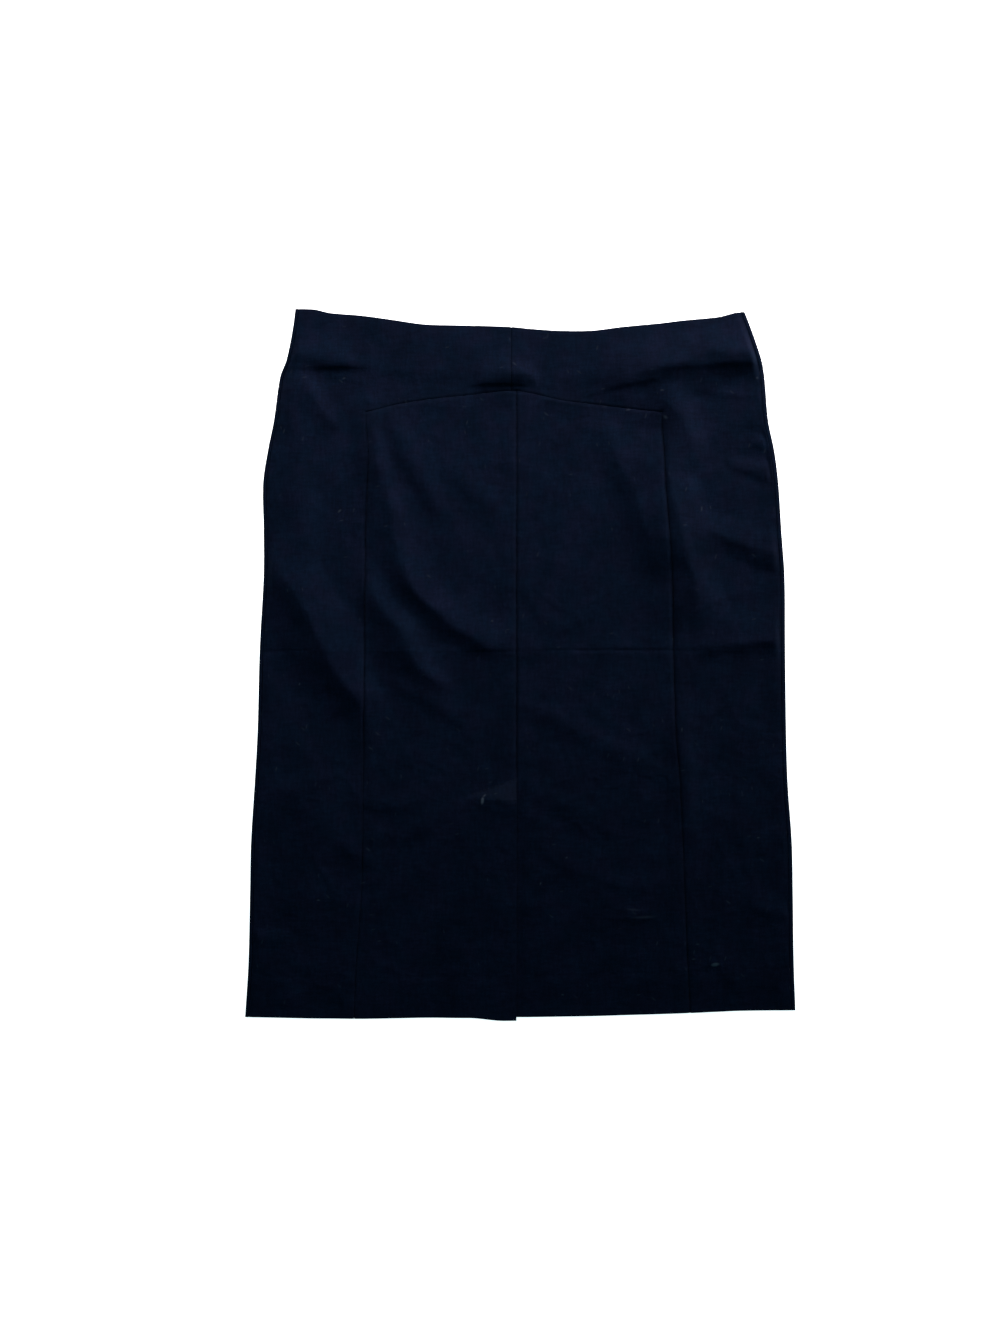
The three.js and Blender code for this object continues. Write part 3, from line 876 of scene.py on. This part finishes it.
def yoke_side(side):
    """Half of the yoke and the side panel below it, cut in one: an L round the centre piece"""
    def seam(y):
        return side_seam_x(side, y) - side * SEAM_GAP

    princess = princess_line(side, side * SEAM_GAP / 2)
    centre = upright(YOKE_CENTRE + side * SEAM_GAP / 2)
    columns = [seam, princess, centre] if side < 0 else [centre, princess, seam]
    column_places = rungs(LEFT_SIDE_WIDTHS if side < 0 else RIGHT_SIDE_WIDTHS)
    rows, row_places = row_ladder(hem_y, SEAM_GAP / 2, True)
    x, y = crossings(columns, column_places, rows, row_places)
    in_yoke = column_places[:-1] >= 1 if side < 0 else column_places[:-1] < 1
    above = row_places[:-1] >= YOKE_LINE
    keeps = above[:, None] | ~in_yoke[None, :]
    free = np.minimum(np.abs(y - hem_y(x)), np.abs(waist_y(x) - y))
    name = "yoke_side_left_cloth" if side < 0 else "yoke_side_right_cloth"
    return back_piece(name, (x, y), back_height, keeps, free)


def centre_back_left():
    """Left centre back piece, which lies over the underlap from the vent down"""
    edge = BACK_CENTRE - SEAM_GAP / 2
    columns = [princess_line(-1, SEAM_GAP / 2), upright(BACK_CENTRE - VENT_WIDTH), upright(edge)]
    column_places = rungs(LEFT_CENTRE_WIDTHS)
    rows, row_places = row_ladder(left_centre_hem, -SEAM_GAP / 2, False)
    x, y = crossings(columns, column_places, rows, row_places)
    keeps = np.ones((len(row_places) - 1, len(column_places) - 1), bool)
    sewn = 1 - smoothstep(VENT_TOP - y, 0, VENT_STITCH_PITCH)
    vent_edge = edge - x + sewn * CLOTH_WALL
    free = np.minimum(np.abs(y - left_centre_hem(x)), vent_edge + VENT_EDGE_WEAR_OFF)
    return back_piece("centre_back_left_cloth", (x, y), left_back_height, keeps, free)


def centre_back_right():
    """Right centre back piece, with the vent's underlap in one, passing below the left piece"""
    centre = upright(BACK_CENTRE + SEAM_GAP / 2)
    columns = [upright(BACK_CENTRE - VENT_WIDTH), centre, princess_line(1, -SEAM_GAP / 2)]
    column_places = rungs(RIGHT_CENTRE_WIDTHS)
    rows, row_places = row_ladder(hem_y, -SEAM_GAP / 2, False)
    x, y = crossings(columns, column_places, rows, row_places)
    below = row_places[:-1] < UNDERLAP_LINE
    keeps = below[:, None] | (column_places[:-1] >= 1)[None, :]
    free = np.abs(y - hem_y(x))
    return back_piece("centre_back_right_cloth", (x, y), right_back_height, keeps, free)


def roll_section(side, y):
    """One side's roll, from the seam on top, out, down and under to the flat"""
    seam = side_seam_x(side, y)
    wall = wall_at(seam, y)
    height = 2 * wall + ROLL_AIR
    centre = edge_x(side, y) - side * ROLL_REACH
    outer = []
    inner = []
    for share in (0, *ROLL_TOP_SHARES):
        x = mix(seam, centre, share)
        outer.append(np.stack([x, y, height - ROLL_GROOVE * (1 - share) ** 2], -1))
        inner.append(np.stack([x, y, height - wall], -1))
    for turn in np.linspace(0, math.pi, ROLL_STEPS + 1):
        out = side * math.sin(turn)
        up = math.cos(turn)
        outer.append(np.stack([centre + ROLL_REACH * out, y, height / 2 * (1 + up)], -1))
        inner_x = centre + (ROLL_REACH - wall) * out
        inner.append(np.stack([inner_x, y, height / 2 + (height / 2 - wall) * up], -1))
    return outer, inner


def front_panel():
    """Front panel: flat on the floor, rolling up round both edges to the side seams on top"""
    rows, places = row_ladder(hem_y, 0, True)
    rolls = {}
    for side in (-1, 1):
        y = np.zeros(len(places))
        for _ in range(SETTLING_ROUNDS):
            y = between(rows, places, edge_x(side, y))
        rolls[side] = roll_section(side, y)
    left_outer, left_inner = rolls[-1]
    right_outer, right_inner = rolls[1]
    first = right_outer[-1][:, 0]
    last = left_outer[-1][:, 0]
    inset = np.zeros(len(places))
    inset[0] = FRONT_INSET
    inset[-1] = -FRONT_INSET
    flat_outer = []
    flat_inner = []
    for share in np.linspace(0, 1, FRONT_COLUMNS + 2)[1:-1]:
        x = mix(first, last, share)
        y = between(rows, places, x)
        flat_outer.append(np.stack([x, y + inset, np.zeros_like(x)], -1))
        flat_inner.append(np.stack([x, y + inset, wall_at(x, y)], -1))
    outer = np.stack(right_outer + flat_outer + left_outer[::-1], 1)
    inner = np.stack(right_inner + flat_inner + left_inner[::-1], 1)
    keeps = np.ones((outer.shape[0] - 1, outer.shape[1] - 1), bool)
    from_hem = np.abs(outer[..., 1] - hem_y(outer[..., 0]))
    wear = FRONT_WEAR * np.exp(-from_hem / FRONT_WEAR_REACH)
    # The front has no painted seam shade
    tones = {"edge_wear": wear, "seam_painted_shade": np.zeros_like(wear)}
    return piece("front_panel_cloth", outer, inner, keeps, tones)


def thread_tube(points, radius):
    """Points and faces of one closed round tube along a row of points, narrowed at both ends"""
    corners = []
    faces = []
    last = len(points) - 1
    for index, point in enumerate(points):
        ahead = points[min(last, index + 1)] - points[max(0, index - 1)]
        across = Vector((-ahead.y, ahead.x, 0)).normalized()
        up = ahead.cross(across).normalized()
        reach = radius * (THREAD_END_SHARE if index in (0, last) else 1)
        for side in range(THREAD_SIDES):
            turn = 2 * math.pi * side / THREAD_SIDES
            corners.append(point + reach * (math.cos(turn) * across + math.sin(turn) * up))
    for ring in range(last):
        for side in range(THREAD_SIDES):
            here = ring * THREAD_SIDES + side
            there = ring * THREAD_SIDES + (side + 1) % THREAD_SIDES
            faces.append((here, there, there + THREAD_SIDES, here + THREAD_SIDES))
    faces.append(tuple(range(THREAD_SIDES))[::-1])
    faces.append(tuple(last * THREAD_SIDES + side for side in range(THREAD_SIDES)))
    return corners, faces


def vent_stitches():
    """Short threads along the stitched top of the vent, each dipping into the cloth at both ends"""
    corners = []
    faces = []
    for stitch in range(int(VENT_WIDTH / VENT_STITCH_PITCH)):
        middle = BACK_CENTRE - VENT_STITCH_START - (stitch + 0.5) * VENT_STITCH_PITCH
        points = []
        for share in np.linspace(-1, 1, VENT_STITCH_POINTS):
            x = np.array([middle + share * VENT_STITCH_LENGTH / 2])
            y = vent_top_y(x) - VENT_STITCH_INSET
            z = left_back_height(x, y) + VENT_STITCH_RADIUS * (1 - VENT_STITCH_DIP * share ** 2)
            points.append(Vector((x[0], y[0], z[0])) * MM)
        more, tops = thread_tube(points, VENT_STITCH_RADIUS * MM)
        faces += [tuple(corner + len(corners) for corner in face) for face in tops]
        corners += more
    add_mesh("vent_stitches", corners, faces, thread_material())


class Nodes:
    """The nodes of a new material, with short ways to add those that the skirt uses"""

    def __init__(self, name):
        self.material = bpy.data.materials.new(name)
        self.material.use_nodes = True
        self.tree = self.material.node_tree
        self.tree.nodes.clear()
        self.coordinates = None

    def add(self, kind, inputs, **settings):
        """A node with its settings, each input given as a value or as an output to join to it"""
        node = self.tree.nodes.new("ShaderNode" + kind)
        for name, value in settings.items():
            setattr(node, name, value)
        for name, value in inputs.items():
            if isinstance(value, bpy.types.NodeSocket):
                self.tree.links.new(value, node.inputs[name])
            else:
                node.inputs[name].default_value = value
        return node

    def place(self):
        """The place on the skirt, in metres"""
        if self.coordinates is None:
            self.coordinates = self.add("TexCoord", {})
        return self.coordinates.outputs["Object"]

    def moved(self, middle, angle, size):
        """Places as seen from a patch with this middle, turn in degrees and size, in metres"""
        turn = (0, 0, math.radians(angle))
        inputs = {"Vector": self.place(), "Location": middle, "Rotation": turn, "Scale": size}
        return self.add("Mapping", inputs, vector_type="TEXTURE").outputs["Vector"]

    def yarns(self, direction, scale):
        inputs = {"Vector": self.place(), "Scale": scale, **YARN_WANDER}
        return self.add("TexWave", inputs, bands_direction=direction, wave_profile="SIN").outputs["Fac"]

    def noise(self, scale, detail, vector=None):
        vector = self.place() if vector is None else vector
        return self.add("TexNoise", {"Vector": vector, "Scale": scale, "Detail": detail}).outputs["Fac"]

    def tones(self, source, low, high, dark, light):
        """Colours from dark to light as the source goes from low to high"""
        node = self.add("ValToRGB", {"Fac": source})
        for end, position, colour in ((0, low, dark), (1, high, light)):
            node.color_ramp.elements[end].position = position
            node.color_ramp.elements[end].color = (*colour, 1)
        return node.outputs["Color"]

    def patches(self, pattern, dark, light, vector=None):
        """Uneven patches between two colours, from one of the patterns above"""
        scale, detail, low, high = pattern
        return self.tones(self.noise(scale, detail, vector), low, high, dark, light)

    def blend(self, kind, share, first, second):
        """Two colours blended: socket 0 is the share, 6 and 7 are the colours"""
        inputs = {0: share, 6: first, 7: second}
        return self.add("Mix", inputs, data_type="RGBA", blend_type=kind).outputs[2]

    def maths(self, operation, first, second):
        return self.add("Math", {0: first, 1: second}, operation=operation).outputs["Value"]

    def attribute(self, name):
        return self.add("Attribute", {}, attribute_name=name).outputs["Fac"]

    def surface(self, inputs):
        """Ends the material with a surface of these values"""
        shader = self.add("BsdfPrincipled", inputs)
        self.add("OutputMaterial", {"Surface": shader.outputs["BSDF"]})
        return self.material


def woven_colour(nodes, weave):
    """Colour of the cloth: uneven dye and yarns, their crossings, slubs and patches of hue"""
    colour = nodes.patches(DYE, COLOUR_DEEP, COLOUR_LIGHT)
    colour = nodes.blend("MULTIPLY", 1, colour, nodes.patches(YARN_TONE, YARN_DARK, YARN_PALE))
    weave_tones = nodes.tones(weave, *WEAVE_RANGE, GAP_TONE, TOP_TONE)
    colour = nodes.blend("MULTIPLY", WEAVE_STRENGTH, colour, weave_tones)
    for scale in (WEFT_STREAKS, WARP_STREAKS):
        stretched = nodes.add("Mapping", {"Vector": nodes.place(), "Scale": scale}).outputs["Vector"]
        colour = nodes.blend("MULTIPLY", 1, colour, nodes.patches(SLUBS, SLUB_THIN, SLUB_THICK, stretched))
    return nodes.blend("MULTIPLY", 1, colour, nodes.patches(HUE, HUE_COOL, HUE_WARM))


def scattered_lint(nodes):
    """Small specks in layers of cells, where only a few cells of each layer hold one"""
    lint = 0
    for angle, cell in LINT_LAYERS:
        vector = nodes.moved((0, 0, 0), angle, (cell * LINT_STRETCH * MM, cell * MM, 1))
        inputs = {"Vector": vector, "Scale": 1}
        specks = nodes.add("TexVoronoi", inputs, voronoi_dimensions="2D", feature="F1")
        inputs = {"Value": specks.outputs["Distance"], "From Min": LINT_REACH, "From Max": LINT_REACH / 2}
        near = nodes.add("MapRange", inputs)
        chances = nodes.add("SeparateColor", {"Color": specks.outputs["Color"]})
        few = nodes.maths("GREATER_THAN", chances.outputs["Red"], LINT_CHOICE)
        layer = nodes.maths("MULTIPLY", near.outputs["Result"], few)
        layer = nodes.maths("MULTIPLY", layer, chances.outputs["Green"])
        lint = nodes.maths("MAXIMUM", lint, layer)
    return nodes.maths("MULTIPLY", lint, LINT_STRENGTH)


def with_marks(nodes, lint):
    """Lint with the bits that stand out, each a soft ball laid flat on the cloth"""
    for x, y, angle, long, wide, strength in zip(*MARKS.values()):
        size = (long / 2 * MM, wide / 2 * MM, MARK_HEIGHT)
        vector = nodes.moved((x * MM, y * MM, 0), angle, size)
        ball = nodes.add("TexGradient", {"Vector": vector}, gradient_type="SPHERICAL").outputs["Fac"]
        lint = nodes.maths("MAXIMUM", lint, nodes.maths("MULTIPLY", ball, MARK_GAIN * strength))
    return lint


def cloth_material():
    """Fine navy stretch weave: crossing yarns in relief, uneven dye, lint, slightly worn edges and painted
    shade in the seams
    """
    nodes = Nodes("skirt_cloth_weave")
    weave = nodes.maths("MULTIPLY", nodes.yarns("X", WARP_SCALE), nodes.yarns("Y", WEFT_SCALE))
    worn = nodes.maths("MULTIPLY", nodes.attribute("edge_wear"), WEAR_STRENGTH)
    lint = nodes.add("Clamp", {"Value": with_marks(nodes, scattered_lint(nodes))}).outputs["Result"]
    colour = woven_colour(nodes, weave)
    colour = nodes.blend("MIX", worn, colour, (*COLOUR_WORN, 1))
    # Painted shade: the cloth colour is darkened along the seam grooves
    colour = nodes.blend("MULTIPLY", nodes.attribute("seam_painted_shade"), colour, (*SEAM_PAINTED_SHADE_TONE, 1))
    colour = nodes.blend("MIX", lint, colour, (*COLOUR_LINT, 1))
    relief_of_weave = nodes.add("Bump", {"Height": weave, **WEAVE_BUMP}).outputs["Normal"]
    inputs = {"Height": nodes.noise(*FUZZ), "Normal": relief_of_weave, **FUZZ_BUMP}
    fuzz = nodes.add("Bump", inputs).outputs["Normal"]
    return nodes.surface({"Base Color": colour, "Normal": fuzz, **CLOTH_FINISH})


def thread_material():
    """Navy sewing thread, its two plies showing as slanting bands"""
    nodes = Nodes("sewing_thread")
    inputs = {"Vector": nodes.place(), "Scale": PLY_SCALE}
    plies = nodes.add("TexWave", inputs, bands_direction="DIAGONAL").outputs["Fac"]
    dark = [part / 2 for part in COLOUR_THREAD]
    colour = nodes.tones(plies, 0, 1, dark, COLOUR_THREAD)
    bump = nodes.add("Bump", {"Height": plies, "Distance": PLY_DEPTH}).outputs["Normal"]
    return nodes.surface({"Base Color": colour, "Normal": bump, **THREAD_FINISH})


def floor_material():
    return Nodes("pale_floor").surface(FLOOR_FINISH)


# Camera straight above, at the distance where a pixel of the photograph is 0.868 mm
PIXEL = 0.868
PHOTO_HEIGHT = 1333
CAMERA_X = -17.6
CAMERA_Y = -1.5
LENS = 50
SENSOR = 36
CLOTH_LEVEL = 3.0


def camera():
    data = bpy.data.cameras.new("camera")
    data.lens = LENS
    data.sensor_width = SENSOR
    made = bpy.data.objects.new("camera", data)
    distance = PHOTO_HEIGHT * PIXEL * LENS / SENSOR
    made.location = (CAMERA_X * MM, CAMERA_Y * MM, (distance + CLOTH_LEVEL) * MM)
    bpy.context.scene.collection.objects.link(made)
    bpy.context.scene.camera = made


# Slightly warm light against a cool fill, as dark navy cloth turns greyer where it is lit
LIGHT_COLOUR = (1.0, 0.87, 0.87)
FILL_COLOUR = (0.03, 0.95, 1.13)
FILL_STRENGTH = 0.37
BACKDROP_COLOUR = (1, 1, 1)

# Floor, in metres: half of its side, and its level just below the skirt
FLOOR_HALF = 4.0
FLOOR_LEVEL = -0.0002


def soft_light(name, place, aim, width, height, spread, power):
    """Rectangular soft light with a narrowed beam, aimed at a place on the skirt"""
    data = bpy.data.lights.new(name, "AREA")
    data.shape = "RECTANGLE"
    data.size = width
    data.size_y = height
    data.spread = math.radians(spread)
    data.energy = power
    data.color = LIGHT_COLOUR
    made = bpy.data.objects.new(name, data)
    made.location = place
    made.rotation_mode = "QUATERNION"
    made.rotation_quaternion = (Vector(aim) - Vector(place)).to_track_quat("-Z", "Y")
    bpy.context.scene.collection.objects.link(made)


def surroundings():
    """Even cool fill on the cloth, seen directly as a plain white backdrop"""
    world = bpy.data.worlds.new("surroundings")
    world.use_nodes = True
    tree = world.node_tree
    fill = tree.nodes["Background"]
    fill.inputs["Color"].default_value = (*FILL_COLOUR, 1)
    fill.inputs["Strength"].default_value = FILL_STRENGTH
    backdrop = tree.nodes.new("ShaderNodeBackground")
    backdrop.inputs["Color"].default_value = (*BACKDROP_COLOUR, 1)
    seen = tree.nodes.new("ShaderNodeLightPath")
    either = tree.nodes.new("ShaderNodeMixShader")
    tree.links.new(seen.outputs["Is Camera Ray"], either.inputs["Fac"])
    tree.links.new(fill.outputs["Background"], either.inputs[1])
    tree.links.new(backdrop.outputs["Background"], either.inputs[2])
    tree.links.new(either.outputs["Shader"], tree.nodes["World Output"].inputs["Surface"])
    return world


def floor_below():
    half = FLOOR_HALF
    corners = [(-half, -half), (half, -half), (half, half), (-half, half)]
    mesh = bpy.data.meshes.new("floor")
    mesh.from_pydata([(x, y, FLOOR_LEVEL) for x, y in corners], [], [(0, 1, 2, 3)])
    floor = bpy.data.objects.new("floor", mesh)
    mesh.materials.append(floor_material())
    bpy.context.scene.collection.objects.link(floor)
    return floor


def lights():
    """A low soft light beyond the waist, a side light from the upper right, and the even fill"""
    soft_light("key", place=(-0.1, 1.1, 0.38), aim=(-0.02, 0.25, 0),
               width=1.3, height=0.2, spread=26, power=4.16)
    soft_light("side", place=(1.9, 1.3, 0.45), aim=(-0.1, 0.24, 0),
               width=0.5, height=0.3, spread=50, power=12.9)
    bpy.context.scene.world = surroundings()
    bpy.context.scene.view_settings.view_transform = "Standard"


CLOTH = cloth_material()
floor = floor_below()
lights()
camera()
made = {
    "front_panel": front_panel(),
    "yoke_side_left": yoke_side(-1),
    "yoke_side_right": yoke_side(1),
    "centre_back_left": centre_back_left(),
    "centre_back_right": centre_back_right(),
}
vent_stitches()
for node, shown in made.items():
    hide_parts(node)
